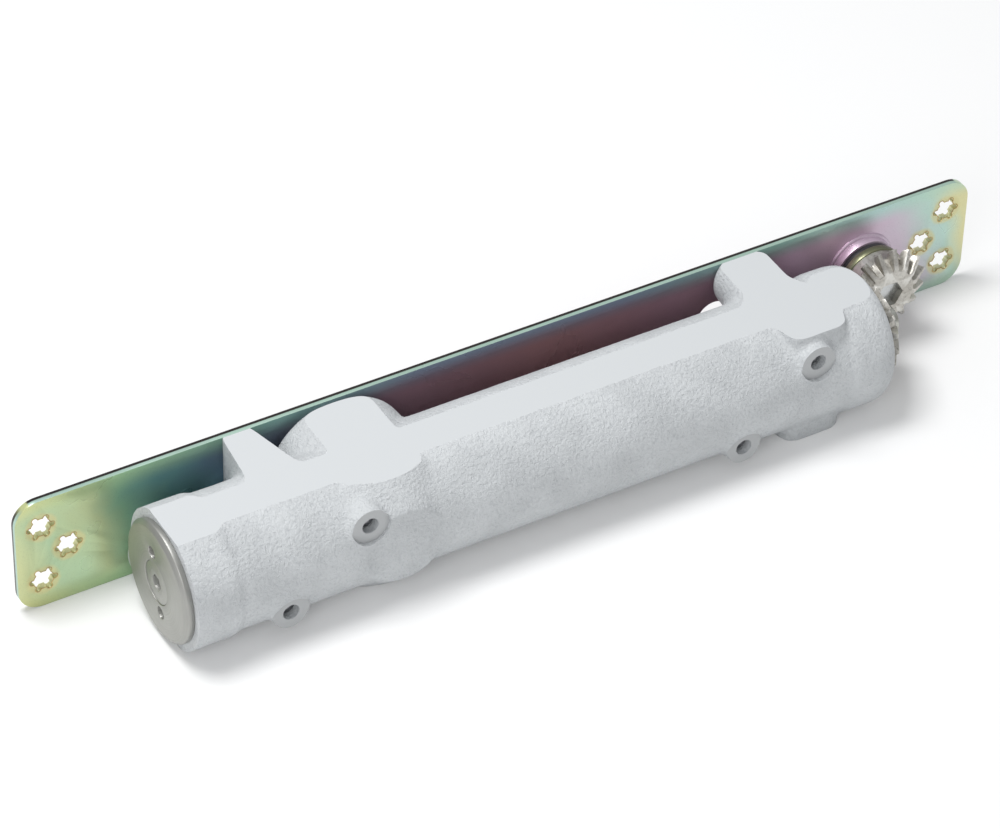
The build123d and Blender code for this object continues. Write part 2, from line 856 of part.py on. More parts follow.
def spindle():
    """The output spindle: a journal in the collar, and a hexagon in the upper gear."""
    journal_end = gear_back_y() + running_gap
    hex_end = body_y + gear_toe_plane + spindle_hex_recess
    shape = y_rod(spindle_radius, spindle_out, journal_end, spindle_x)
    shape += hex_y(shaft_hex, journal_end + 1, hex_end, spindle_x)
    shape -= hex_y(spindle_socket_hex, spindle_out + 1, spindle_out - spindle_socket_depth, spindle_x)
    shape -= y_rod(spindle_thread_radius, spindle_out, spindle_out - spindle_thread_depth - spindle_socket_depth,
                   spindle_x)
    groove_low = running_gap
    groove_high = running_gap + clip_thick + running_gap
    shape -= y_tube(spindle_radius + 1, clip_groove_radius - running_gap, groove_low, groove_high, spindle_x)
    return shape


def spindle_clip():
    """The snap ring on the outer side, open at one place."""
    low = running_gap + running_gap / 2
    ring = y_tube(clip_outer_radius, clip_groove_radius, low, low + clip_thick, spindle_x)
    wedge_side = 2 * clip_outer_radius
    half = math.radians(clip_opening / 2)
    wedge = make_face(Plane.XZ * Polyline(
        (0, 0), (wedge_side * math.cos(half), wedge_side * math.sin(half)),
        (wedge_side * math.cos(half), -wedge_side * math.sin(half)), close=True))
    return ring - Pos(spindle_x, 5, 0) * extrude(wedge, 10)


def spindle_bush():
    outer = collar_inner_radius - running_gap
    return y_tube(outer, spindle_radius + running_gap, 0, collar_end_y, spindle_x)


def spindle_black_ring():
    high = collar_end_y - seat_gap
    return y_tube(black_ring_radius, spindle_radius + running_gap, high, high - black_ring_thick, spindle_x)


def spindle_flange():
    low = gear_back_y() + running_gap
    return y_tube(flange_radius, spindle_radius + running_gap, low, low + flange_thick, spindle_x)


# Valve screws


def valve_screw(x, mouth_y):
    top = mouth_y - valve_sink
    bottom = top - valve_length
    tip = 1.5
    ring_y = top - valve_ring_offset
    outline = Polyline(
        (0, top), (valve_radius, top), (valve_radius, bottom + tip), (1.0, bottom), (0, bottom), close=True)
    screw = turned_on_y(outline, x)
    screw -= hex_y(valve_hex, top + 1, top - valve_hex_depth, x)
    groove = ring_section_radius + seat_gap
    inner = valve_radius + valve_bore_gap - 2 * ring_section_radius - 3 * running_gap
    return screw - y_tube(valve_radius + 1, inner, ring_y - groove, ring_y + groove, x)


def valve_mouths():
    """Where each valve screw's bore opens: name, place along X, height of the mouth."""
    closing, latching = boss_valve_places()
    return (
        ("closing_valve_screw", closing[0], inner_face_y),
        ("latching_valve_screw", latching[0], inner_face_y),
        ("backcheck_valve_screw", backcheck_x, backcheck_seat_y()),
    )


def valve_seals():
    rings = []
    mean = valve_radius + valve_bore_gap - ring_section_radius - running_gap
    for _, x, mouth in valve_mouths():
        rings.append(ring_on_y(mean, mouth - valve_sink - valve_ring_offset, x))
    return Compound(children=rings)


def all_nodes():
    nodes = {
        "mounting_plate": mounting_plate(),
        "plate_screws": plate_screws(),
        "housing": housing(),
        "ball_plugs": ball_plugs(),
        "end_cap": end_cap(),
        "end_cap_seal": end_cap_seal(),
        "adjusting_screw": adjusting_screw(),
        "adjusting_screw_seal": adjusting_screw_seal(),
        "spring_seat": spring_seat(),
        "main_spring": main_spring(),
        "piston": piston(),
        "piston_seal": piston_seal(),
        "check_valve": check_valve(),
        "check_valve_ball": check_valve_ball(),
        "roller_pin": roller_pin(),
        "rear_cam_roller": cam_roller(1),
        "front_cam_roller": cam_roller(-1),
        "camshaft": camshaft(),
        "thrust_washer": thrust_washer(),
        "inner_shaft_bush": shaft_bush(bush_bore_start + seat_gap),
        "outer_shaft_bush": shaft_bush(outer_bush_start),
        "shaft_seal": shaft_seal(),
        "bearing_retainer": bearing_retainer(),
        "lower_bevel_gear": lower_bevel_gear(),
        "lower_gear_washer": lower_gear_washer(),
        "lower_gear_screw": lower_gear_screw(),
        "upper_bevel_gear": upper_bevel_gear(),
        "spindle": spindle(),
        "spindle_clip": spindle_clip(),
        "spindle_bush": spindle_bush(),
        "spindle_black_ring": spindle_black_ring(),
        "spindle_flange": spindle_flange(),
        "valve_seals": valve_seals(),
    }
    for name, x, mouth in valve_mouths():
        nodes[name] = valve_screw(x, mouth)
    return nodes


os.makedirs("parts", exist_ok=True)
for node_name, node_shape in all_nodes().items():
    export_step(node_shape, os.path.join("parts", node_name + ".step"))
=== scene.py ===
import math

import bmesh
import bpy
import mathutils
import numpy as np
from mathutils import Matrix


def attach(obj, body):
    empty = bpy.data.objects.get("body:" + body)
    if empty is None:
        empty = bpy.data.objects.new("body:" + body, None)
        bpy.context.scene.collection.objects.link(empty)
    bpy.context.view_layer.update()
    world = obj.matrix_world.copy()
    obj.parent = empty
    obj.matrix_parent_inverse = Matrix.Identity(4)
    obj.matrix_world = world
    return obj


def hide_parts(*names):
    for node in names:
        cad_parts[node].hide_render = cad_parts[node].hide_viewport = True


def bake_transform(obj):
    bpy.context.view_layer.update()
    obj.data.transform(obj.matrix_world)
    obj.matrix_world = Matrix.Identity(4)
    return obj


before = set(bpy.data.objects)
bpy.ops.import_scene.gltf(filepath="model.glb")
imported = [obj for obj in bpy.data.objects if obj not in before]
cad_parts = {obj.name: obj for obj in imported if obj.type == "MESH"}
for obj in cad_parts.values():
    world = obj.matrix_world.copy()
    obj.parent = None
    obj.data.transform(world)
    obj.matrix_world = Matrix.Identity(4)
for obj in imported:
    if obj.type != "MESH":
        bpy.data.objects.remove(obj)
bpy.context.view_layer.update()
mm = 0.001
axisY = -0.0304  # the body's axis, measured from the plate's outer face
spindleX = 0.1306


# Camera and light

cameraSetup = {
    "place": (-0.5760, -0.9635, 0.9462),
    "aim": (-0.0063, -0.0061, -0.0075),
    "rollDegrees": 1.544,
    "lens": 167.4,
    "sensor": 36.0,
}

lightSetup = {
    "sky": 0.5,
    "skyColour": (0.97, 0.985, 1, 1),
    "keyEnergy": 14.0,
    "keySize": 0.55,
    "keyPlace": (-0.35, 0.2, 1.3),
    "sideEnergy": 3.6,
    "sideSize": 0.6,
    "sidePlace": (-0.9, -0.8, 0.7),
}


def makeCamera():
    data = bpy.data.cameras.new("photoCamera")
    data.lens = cameraSetup["lens"]
    data.sensor_width = cameraSetup["sensor"]
    data.clip_start = 0.01
    data.clip_end = 20
    camera = bpy.data.objects.new("photoCamera", data)
    bpy.context.scene.collection.objects.link(camera)
    place = mathutils.Vector(cameraSetup["place"])
    look = mathutils.Vector(cameraSetup["aim"]) - place
    level = look.to_track_quat("-Z", "Y").to_matrix()
    roll = mathutils.Matrix.Rotation(math.radians(cameraSetup["rollDegrees"]), 3, "Z")
    camera.matrix_world = mathutils.Matrix.Translation(place) @ (level @ roll).to_4x4()
    bpy.context.scene.camera = camera


def makeLamp(name, place, energy, size):
    data = bpy.data.lights.new(name, "AREA")
    data.energy = energy
    data.size = size
    lamp = bpy.data.objects.new(name, data)
    bpy.context.scene.collection.objects.link(lamp)
    lamp.location = place
    lamp.rotation_euler = (-mathutils.Vector(place)).to_track_quat("-Z", "Y").to_euler()


def makeLights():
    makeLamp("keyLamp", lightSetup["keyPlace"], lightSetup["keyEnergy"], lightSetup["keySize"])
    makeLamp("sideLamp", lightSetup["sidePlace"], lightSetup["sideEnergy"], lightSetup["sideSize"])
    world = bpy.data.worlds.new("studioWorld")
    bpy.context.scene.world = world
    world.use_nodes = True
    tree = world.node_tree
    tree.nodes.clear()
    out = tree.nodes.new("ShaderNodeOutputWorld")
    seen = tree.nodes.new("ShaderNodeBackground")
    sky = tree.nodes.new("ShaderNodeBackground")
    mix = tree.nodes.new("ShaderNodeMixShader")
    path = tree.nodes.new("ShaderNodeLightPath")
    seen.inputs["Color"].default_value = (1, 1, 1, 1)
    sky.inputs["Color"].default_value = lightSetup["skyColour"]
    sky.inputs["Strength"].default_value = lightSetup["sky"]
    tree.links.new(path.outputs["Is Camera Ray"], mix.inputs["Fac"])
    tree.links.new(sky.outputs[0], mix.inputs[1])
    tree.links.new(seen.outputs[0], mix.inputs[2])
    tree.links.new(mix.outputs[0], out.inputs["Surface"])


# Node tools


class Tree:
    def __init__(self, nodeTree):
        self.tree = nodeTree

    def add(self, kind, links=None, **settings):
        node = self.tree.nodes.new("ShaderNode" + kind)
        for name, value in settings.items():
            setattr(node, name, value)
        for key, value in (links or {}).items():
            socket = node.inputs[key]
            if isinstance(value, bpy.types.NodeSocket):
                self.tree.links.new(value, socket)
            else:
                socket.default_value = value
        return node

    def math(self, operation, first, second=0.0):
        return self.add("Math", {0: first, 1: second}, operation=operation).outputs[0]

    def vector(self, operation, first, second=(0, 0, 0)):
        return self.add("VectorMath", {0: first, 1: second}, operation=operation)

    def noise(self, where, scale, detail=3.0, roughness=0.5, distortion=0.0):
        node = self.add("TexNoise", {"Vector": where, "Scale": scale, "Detail": detail,
                                     "Roughness": roughness, "Distortion": distortion})
        return node.outputs["Fac"]

    def remap(self, value, low, high, newLow=0.0, newHigh=1.0, smooth=True):
        kind = "SMOOTHSTEP" if smooth else "LINEAR"
        node = self.add("MapRange", {"Value": value, "From Min": low, "From Max": high, "To Min": newLow,
                                     "To Max": newHigh}, interpolation_type=kind)
        return node.outputs["Result"]

    def mixColour(self, factor, first, second):
        node = self.add("Mix", {0: factor, 6: first, 7: second}, data_type="RGBA")
        return node.outputs[2]

    def ramp(self, value, stops):
        node = self.add("ValToRGB", {"Fac": value})
        points = node.color_ramp.elements
        while len(points) < len(stops):
            points.new(1.0)
        for point, (place, colour) in zip(points, stops):
            point.position = place
            point.color = colour
        return node.outputs["Color"]

    def axes(self, where):
        return self.add("SeparateXYZ", {0: where}).outputs

    def place(self):
        return self.add("TexCoord").outputs


def rgb(red, green, blue):
    # A colour as it looks on screen, 0 to 255, made linear.
    def linear(value):
        share = value / 255
        return share / 12.92 if share <= 0.04045 else ((share + 0.055) / 1.055) ** 2.4
    return (linear(red), linear(green), linear(blue), 1.0)


def newGroup(name, inputs, outputs):
    group = bpy.data.node_groups.new(name, "ShaderNodeTree")
    for socketName, kind, value in inputs:
        socket = group.interface.new_socket(socketName, in_out="INPUT", socket_type="NodeSocket" + kind)
        if value is not None:
            socket.default_value = value
    for socketName, kind in outputs:
        group.interface.new_socket(socketName, in_out="OUTPUT", socket_type="NodeSocket" + kind)
    tree = Tree(group)
    inside = group.nodes.new("NodeGroupInput")
    outside = group.nodes.new("NodeGroupOutput")
    return group, tree, inside.outputs, outside.inputs


def useGroup(tree, group, links):
    node = tree.tree.nodes.new("ShaderNodeGroup")
    node.node_tree = group
    for key, value in links.items():
        if isinstance(value, bpy.types.NodeSocket):
            tree.tree.links.new(value, node.inputs[key])
        else:
            node.inputs[key].default_value = value
    return node.outputs


# Shared effects


def makeSandGroup():
    group, tree, inside, outside = newGroup(
        "sandSkin", [("Place", "Vector", None), ("Scale", "Float", 700.0), ("Smooth", "Float", 0.0)],
        [("Height", "Float"), ("Tone", "Float")])
    coarse = tree.noise(inside["Place"], inside["Scale"], 2.0, 0.55, 0.4)
    fineScale = tree.math("MULTIPLY", inside["Scale"], 3.3)
    fine = tree.noise(inside["Place"], fineScale, 2.0, 0.6)
    broad = tree.noise(inside["Place"], 60.0, 2.0, 0.5)
    rough = tree.math("ADD", tree.math("MULTIPLY", coarse, 0.75), tree.math("MULTIPLY", fine, 0.25))
    keep = tree.math("SUBTRACT", 1.0, inside["Smooth"])
    height = tree.math("MULTIPLY", rough, keep)
    tree.tree.links.new(height, outside["Height"])
    tree.tree.links.new(broad, outside["Tone"])
    return group


def makeTurnedGroup():
    group, tree, inside, outside = newGroup(
        "turnedRings", [("Place", "Vector", None), ("Pitch", "Float", 0.00022), ("Middle", "Vector", (0, 0, 0)),
                        ("Axis", "Vector", (1, 0, 0))],
        [("Height", "Float"), ("Tone", "Float")])
    offset = tree.vector("SUBTRACT", inside["Place"], inside["Middle"]).outputs[0]
    along = tree.vector("PROJECT", offset, inside["Axis"]).outputs[0]
    across = tree.vector("SUBTRACT", offset, along).outputs[0]
    radius = tree.vector("LENGTH", across).outputs["Value"]
    rings = tree.math("DIVIDE", radius, inside["Pitch"])
    depth = tree.vector("LENGTH", along).outputs["Value"]
    lines = tree.math("DIVIDE", depth, inside["Pitch"])
    spread = tree.add("CombineXYZ", {0: rings, 1: lines, 2: 0.0}).outputs[0]
    value = tree.noise(spread, 1.0, 2.0, 0.6)
    patches = tree.noise(inside["Place"], 90.0, 2.0)
    tree.tree.links.new(value, outside["Height"])
    tree.tree.links.new(patches, outside["Tone"])
    return group


def makeSpeckleGroup():
    group, tree, inside, outside = newGroup(
        "poreSpeckle", [("Place", "Vector", None), ("Scale", "Float", 1500.0)],
        [("Height", "Float"), ("Pores", "Float"), ("Blotch", "Float")])
    grain = tree.noise(inside["Place"], inside["Scale"], 3.0, 0.65)
    pores = tree.remap(grain, 0.56, 0.68)
    blotch = tree.noise(inside["Place"], 260.0, 3.0, 0.6, 0.6)
    tree.tree.links.new(grain, outside["Height"])
    tree.tree.links.new(pores, outside["Pores"])
    tree.tree.links.new(blotch, outside["Blotch"])
    return group


# Edge marks wear on sharp crests; the second output is painted shade, darker in concave creases.
def makeEdgeGroup():
    group, tree, inside, outside = newGroup(
        "edgeWearAndCreaseShade", [("Place", "Vector", None), ("Low", "Float", 0.52), ("High", "Float", 0.6)],
        [("Edge", "Float"), ("CreaseShade", "Float")])
    sharp = tree.add("NewGeometry").outputs["Pointiness"]
    broken = tree.math("MULTIPLY", tree.math("SUBTRACT", tree.noise(inside["Place"], 900.0, 2.0), 0.5), 0.06)
    value = tree.math("ADD", sharp, broken)
    edge = tree.remap(value, inside["Low"], inside["High"])
    creaseShade = tree.remap(sharp, 0.49, 0.44)
    tree.tree.links.new(edge, outside["Edge"])
    tree.tree.links.new(creaseShade, outside["CreaseShade"])
    return group


def makeHaloGroup():
    group, tree, inside, outside = newGroup(
        "holeHalo", [("Place", "Vector", None), ("Centre", "Vector", (0, 0, 0)), ("Radius", "Float", 0.0046),
                     ("Width", "Float", 0.0016)],
        [("Ring", "Float")])
    offset = tree.vector("SUBTRACT", inside["Place"], inside["Centre"]).outputs[0]
    flat = tree.vector("MULTIPLY", offset, (1, 0, 1)).outputs[0]
    away = tree.vector("LENGTH", flat).outputs["Value"]
    wobble = tree.math("MULTIPLY", tree.math("SUBTRACT", tree.noise(inside["Place"], 220.0, 2.0), 0.5), 0.002)
    far = tree.math("ADD", inside["Radius"], inside["Width"])
    ring = tree.remap(tree.math("ADD", away, wobble), far, inside["Radius"])
    tree.tree.links.new(ring, outside["Ring"])
    return group


# Materials


def newMaterial(name):
    material = bpy.data.materials.new(name)
    material.use_nodes = True
    material.node_tree.nodes.clear()
    tree = Tree(material.node_tree)
    shader = tree.add("BsdfPrincipled")
    out = tree.add("OutputMaterial")
    tree.tree.links.new(shader.outputs[0], out.inputs["Surface"])
    return material, tree, shader


def join(tree, value, shader, socket):
    tree.tree.links.new(value, shader.inputs[socket])


def bump(tree, height, strength, distance):
    return tree.add("Bump", {"Height": height, "Strength": strength, "Distance": distance}).outputs["Normal"]


castingLook = {
    "paint": rgb(203, 206, 208),
    "paintDeep": rgb(194, 197, 199),
    "flat": rgb(198, 201, 203),
    # painted shade: the port faces, turned away from the key light, get a darker grey
    "portFace": rgb(180, 182, 183),
    # painted shade: the pits of the sand skin and concave creases are painted darker
    "pitShade": rgb(160, 164, 168),
    "creaseShade": rgb(150, 153, 156),
    "pitShadeShare": 0.6,
    "creaseShadeShare": 0.25,
    "grainScale": 900.0,
    "grainDepth": 0.001,
    "grainStrength": 0.8,
    "roughness": (0.62, 0.48),
    "specular": 0.4,
    "flatEdge": (0.0206, 0.0208),  # how far from the middle the near and far flats lie
    "portRise": (0.05025, 0.05035),  # the port faces lie between these two bands of depth
    "portFall": (0.05055, 0.05045),
}


def castingMaterial(groups):
    look = castingLook
    material, tree, shader = newMaterial("paintedCasting")
    where = tree.place()
    spot = where["Object"]
    normal = tree.axes(where["Normal"])
    part = tree.axes(spot)
    level = tree.math("ABSOLUTE", normal[2])
    high = tree.math("ABSOLUTE", part[2])
    flat = tree.math("MULTIPLY", tree.remap(level, 0.97, 0.995), tree.remap(high, *look["flatEdge"]))
    facing = tree.remap(tree.math("MULTIPLY", normal[1], -1.0), 0.96, 0.99)
    deep = tree.math("MULTIPLY", part[1], -1.0)
    inBand = tree.math("MULTIPLY", tree.remap(deep, *look["portRise"]), tree.remap(deep, *look["portFall"]))
    portFace = tree.math("MULTIPLY", facing, inBand)
    smooth = tree.math("MAXIMUM", flat, portFace)
    sand = useGroup(tree, groups["sand"], {"Place": spot, "Scale": look["grainScale"], "Smooth": smooth})
    wearAndCreaseShade = useGroup(tree, groups["edge"], {"Place": spot})
    tone = tree.remap(sand["Tone"], 0.35, 0.65)
    paint = tree.mixColour(tone, look["paintDeep"], look["paint"])
    # Painted shade: the paint turns darker in the pits of the sand grain.
    pitShade = tree.remap(sand["Height"], 0.55, 0.15)
    paint = tree.mixColour(tree.math("MULTIPLY", pitShade, look["pitShadeShare"]), paint, look["pitShade"])
    # Painted shade: darker paint in concave creases.
    paint = tree.mixColour(tree.math("MULTIPLY", wearAndCreaseShade["CreaseShade"], look["creaseShadeShare"]), paint, look["creaseShade"])
    paint = tree.mixColour(flat, paint, look["flat"])
    # Painted shade: the port faces, turned away from the key light, get a darker grey.
    paint = tree.mixColour(portFace, paint, look["portFace"])
    join(tree, paint, shader, "Base Color")
    rough = tree.remap(sand["Height"], 0.2, 0.8, *look["roughness"], smooth=False)
    join(tree, tree.math("SUBTRACT", rough, tree.math("MULTIPLY", smooth, 0.1)), shader, "Roughness")
    shader.inputs["Specular IOR Level"].default_value = look["specular"]
    join(tree, bump(tree, sand["Height"], look["grainStrength"], look["grainDepth"]), shader, "Normal")
    return material


plateLook = {
    "length": 0.344,
    "roughness": 0.3,
    "metallic": 0.55,
    "cutEdge": rgb(176, 204, 190),
    # painted shadow: a dark line along the cut edge next to the outer face
    "cutEdgeShadow": rgb(44, 38, 36),
    "rim": rgb(214, 206, 150),
    "pore": rgb(60, 60, 60),
    "rimShare": 0.7,
    "poreShare": 0.12,
    "drift": 0.09,  # how far the film's colours wander along the plate, as a share of its length
    "slant": 1.1,
    "stripe": (0.0135, 0.0205),  # where the long edges' own colours begin and are full
    "stripeShare": 0.85,
    "longEdge": (0.0203, 0.0206),
    "shortEdge": (0.1685, 0.1712),
    "cutEdgeShadowStart": (-0.0013, -0.0009),
    "stops": (
        (0.0, rgb(206, 212, 160)), (0.04, rgb(180, 206, 168)), (0.08, rgb(190, 204, 156)),
        (0.12, rgb(146, 190, 160)), (0.16, rgb(112, 160, 160)), (0.21, rgb(100, 128, 146)),
        (0.30, rgb(116, 118, 134)), (0.38, rgb(150, 118, 132)), (0.55, rgb(164, 122, 126)),
        (0.70, rgb(158, 122, 136)), (0.80, rgb(176, 146, 164)), (0.88, rgb(212, 184, 204)),
        (0.93, rgb(208, 194, 208)), (0.97, rgb(186, 216, 204)), (1.0, rgb(222, 218, 166)),
    ),
    "edgeStops": (
        (0.0, rgb(214, 214, 150)), (0.10, rgb(170, 206, 160)), (0.25, rgb(120, 160, 150)),
        (0.40, rgb(110, 130, 150)), (0.62, rgb(104, 126, 146)), (0.78, rgb(130, 176, 160)),
        (0.90, rgb(176, 214, 206)), (1.0, rgb(196, 222, 196)),
    ),
}


def starPlaces():
    places = []
    for side in (-1, 1):
        for z in (-10.6, 10.6):
            places.append((side * 163.5 * mm, z * mm))
        places.append((side * 154.7 * mm, 0.0))
    return places


def plateMaterial(groups):
    look = plateLook
    material, tree, shader = newMaterial("passivatedPlate")
    where = tree.place()
    spot = where["Object"]
    part = tree.axes(spot)
    normal = tree.axes(where["Normal"])
    cloud = tree.noise(spot, 28.0, 3.0, 0.5, 0.6)
    drift = tree.math("MULTIPLY", tree.math("SUBTRACT", cloud, 0.5), look["drift"])
    share = tree.math("ADD", tree.math("DIVIDE", part[0], look["length"]), 0.5)
    slant = tree.math("MULTIPLY", part[2], look["slant"])
    film = tree.ramp(tree.math("ADD", tree.math("ADD", share, drift), slant), look["stops"])
    edgeFilm = tree.ramp(share, look["edgeStops"])
    across = tree.math("ABSOLUTE", part[2])
    along = tree.math("ABSOLUTE", part[0])
    stripe = tree.remap(across, *look["stripe"])
    film = tree.mixColour(tree.math("MULTIPLY", stripe, look["stripeShare"]), film, edgeFilm)
    halo = 0.0
    for x, z in starPlaces():
        ring = useGroup(tree, groups["halo"], {"Place": spot, "Centre": (x, 0, z)})["Ring"]
        halo = tree.math("MAXIMUM", ring, halo)
    film = tree.mixColour(tree.math("MULTIPLY", halo, look["rimShare"]), film, look["rim"])
    side = tree.remap(tree.math("ABSOLUTE", normal[1]), 0.75, 0.5)
    outer = tree.math("MAXIMUM", tree.remap(across, *look["longEdge"]), tree.remap(along, *look["shortEdge"]))
    # Painted shadow: the cut edge turns dark towards the outer face.
    cut = tree.mixColour(tree.remap(part[1], *look["cutEdgeShadowStart"]), look["cutEdge"], look["cutEdgeShadow"])
    film = tree.mixColour(tree.math("MULTIPLY", side, outer), film, cut)
    speck = useGroup(tree, groups["speckle"], {"Place": spot, "Scale": 2200.0})
    film = tree.mixColour(tree.math("MULTIPLY", speck["Pores"], look["poreShare"]), film, look["pore"])
    join(tree, film, shader, "Base Color")
    shader.inputs["Metallic"].default_value = look["metallic"]
    rough = tree.remap(cloud, 0.3, 0.7, look["roughness"] - 0.05, look["roughness"] + 0.08)
    join(tree, rough, shader, "Roughness")
    join(tree, bump(tree, speck["Height"], 0.25, 0.00004), shader, "Normal")
    return material


# Painted shade: dark colours mixed into concave creases.
creaseShadeGrey = rgb(40, 40, 42)
creaseShadeBrown = rgb(40, 38, 36)


def turnedMaterial(groups, name, colour, dark, roughness, middle, axis, metallic=0.9, pitch=0.00022):
    material, tree, shader = newMaterial(name)
    spot = tree.place()["Object"]
    rings = useGroup(tree, groups["turned"], {"Place": spot, "Middle": middle, "Axis": axis, "Pitch": pitch})
    wearAndCreaseShade = useGroup(tree, groups["edge"], {"Place": spot})
    mixed = tree.mixColour(tree.math("MULTIPLY", rings["Height"], 0.6), colour, dark)
    mixed = tree.mixColour(tree.remap(rings["Tone"], 0.4, 0.7, 0.0, 0.25), mixed, dark)
    # Painted shade: dark grey in concave creases.
    mixed = tree.mixColour(tree.math("MULTIPLY", wearAndCreaseShade["CreaseShade"], 0.5), mixed, creaseShadeGrey)
    join(tree, mixed, shader, "Base Color")
    shader.inputs["Metallic"].default_value = metallic
    join(tree, tree.remap(rings["Height"], 0.2, 0.8, roughness - 0.07, roughness + 0.09), shader, "Roughness")
    join(tree, bump(tree, rings["Height"], 0.35, 0.00003), shader, "Normal")
    return material


gearLook = {
    "dark": rgb(176, 172, 164),
    "light": rgb(206, 203, 196),
    "pore": rgb(92, 88, 82),
    "crest": rgb(232, 231, 226),
    # painted shade for concave creases
    "creaseShade": rgb(70, 66, 62),
    "metallic": 0.9,
    "roughness": (0.34, 0.5),
}


def gearMaterial(groups):
    look = gearLook
    material, tree, shader = newMaterial("sinteredGear")
    spot = tree.place()["Object"]
    speck = useGroup(tree, groups["speckle"], {"Place": spot, "Scale": 1300.0})
    wearAndCreaseShade = useGroup(tree, groups["edge"], {"Place": spot, "Low": 0.51, "High": 0.58})
    base = tree.mixColour(tree.remap(speck["Blotch"], 0.35, 0.65), look["dark"], look["light"])
    base = tree.mixColour(tree.math("MULTIPLY", speck["Pores"], 0.55), base, look["pore"])
    base = tree.mixColour(tree.math("MULTIPLY", wearAndCreaseShade["Edge"], 0.7), base, look["crest"])
    # Painted shade: dark colour in concave creases between the teeth.
    base = tree.mixColour(tree.math("MULTIPLY", wearAndCreaseShade["CreaseShade"], 0.65), base, look["creaseShade"])
    join(tree, base, shader, "Base Color")
    shader.inputs["Metallic"].default_value = look["metallic"]
    join(tree, tree.remap(speck["Blotch"], 0.3, 0.7, *look["roughness"]), shader, "Roughness")
    join(tree, bump(tree, speck["Height"], 0.5, 0.00006), shader, "Normal")
    return material


def plainMetal(groups, name, light, dark, roughness, metallic=0.9, scale=700.0):
    material, tree, shader = newMaterial(name)
    spot = tree.place()["Object"]
    speck = useGroup(tree, groups["speckle"], {"Place": spot, "Scale": scale})
    wearAndCreaseShade = useGroup(tree, groups["edge"], {"Place": spot})
    base = tree.mixColour(tree.remap(speck["Blotch"], 0.35, 0.65), dark, light)
    # Painted shade: dark brown in concave creases.
    base = tree.mixColour(tree.math("MULTIPLY", wearAndCreaseShade["CreaseShade"], 0.5), base, creaseShadeBrown)
    join(tree, base, shader, "Base Color")
    shader.inputs["Metallic"].default_value = metallic
    join(tree, tree.remap(speck["Height"], 0.3, 0.7, roughness - 0.06, roughness + 0.08), shader, "Roughness")
    join(tree, bump(tree, speck["Height"], 0.3, 0.00003), shader, "Normal")
    return material


def softBlack(groups, name, colour, roughness):
    material, tree, shader = newMaterial(name)
    spot = tree.place()["Object"]
    sand = useGroup(tree, groups["sand"], {"Place": spot, "Scale": 1800.0})
    base = tree.mixColour(tree.remap(sand["Tone"], 0.35, 0.65), colour, rgb(46, 46, 48))
    join(tree, base, shader, "Base Color")
    join(tree, tree.remap(sand["Height"], 0.3, 0.7, roughness - 0.06, roughness + 0.08), shader, "Roughness")
    join(tree, bump(tree, sand["Height"], 0.3, 0.00003), shader, "Normal")
    return material


def makeMaterials():
    groups = {
        "sand": makeSandGroup(),
        "turned": makeTurnedGroup(),
        "speckle": makeSpeckleGroup(),
        "edge": makeEdgeGroup(),
        "halo": makeHaloGroup(),
    }
    bodyMiddle = (0, axisY, 0)
    spindleMiddle = (spindleX, 0, 0)
    alongX = (1, 0, 0)
    alongY = (0, 1, 0)
    return {
        "casting": castingMaterial(groups),
        "plate": plateMaterial(groups),
        "cap": turnedMaterial(groups, "turnedCap", rgb(176, 176, 172), rgb(150, 150, 146), 0.42,
                              bodyMiddle, alongX),
        "turned": turnedMaterial(groups, "turnedSteel", rgb(190, 190, 188), rgb(150, 150, 148), 0.34,
                                 bodyMiddle, alongX),
        "ground": turnedMaterial(groups, "groundSteel", rgb(205, 205, 203), rgb(168, 168, 168), 0.24,
                                 bodyMiddle, alongX, pitch=0.0001),
        "spindle": turnedMaterial(groups, "spindleSteel", rgb(214, 216, 216), rgb(178, 180, 180), 0.26,
                                  spindleMiddle, alongY, pitch=0.0001),
        "flange": turnedMaterial(groups, "zincFlange", rgb(150, 150, 116), rgb(92, 96, 92), 0.34,
                                 spindleMiddle, alongY),
        "bronze": turnedMaterial(groups, "sinteredBronze", rgb(176, 144, 96), rgb(128, 98, 62), 0.42,
                                 bodyMiddle, alongX),
        "brass": plainMetal(groups, "turnedBrass", rgb(206, 178, 104), rgb(170, 140, 74), 0.3),
        "gear": gearMaterial(groups),
        "rim": plainMetal(groups, "rimFilm", rgb(214, 186, 130), rgb(170, 140, 96), 0.35),
        "screw": plainMetal(groups, "zincScrew", rgb(206, 206, 200), rgb(168, 168, 160), 0.32),
        "ball": plainMetal(groups, "ballSteel", rgb(150, 150, 152), rgb(120, 120, 124), 0.14, metallic=1.0),
        "spring": plainMetal(groups, "springWire", rgb(96, 96, 98), rgb(62, 62, 66), 0.36),
        "oxide": plainMetal(groups, "blackOxide", rgb(52, 52, 54), rgb(34, 34, 36), 0.4),
        "plastic": softBlack(groups, "blackPlastic", rgb(28, 28, 30), 0.4),
        "rubber": softBlack(groups, "sealRubber", rgb(24, 24, 25), 0.62),
    }


# Mesh tools

meshSetup = {
    "weld": 0.000002,
    "flatDegrees": 0.4,
    "edgeDegrees": 32.0,
    "edgeSegments": 2,
}


def linkMesh(name, mesh):
    piece = bpy.data.objects.new(name, mesh)
    bpy.context.scene.collection.objects.link(piece)
    return piece


def evaluated(piece):
    graph = bpy.context.evaluated_depsgraph_get()
    mesh = bpy.data.meshes.new_from_object(piece.evaluated_get(graph), depsgraph=graph)
    piece.modifiers.clear()
    old = piece.data
    piece.data = mesh
    if isinstance(old, bpy.types.Mesh) and old.users == 0:
        bpy.data.meshes.remove(old)
    return piece


def openMesh(mesh):
    shape = bmesh.new()
    shape.from_mesh(mesh)
    return shape


def closeMesh(shape, mesh):
    shape.to_mesh(mesh)
    shape.free()


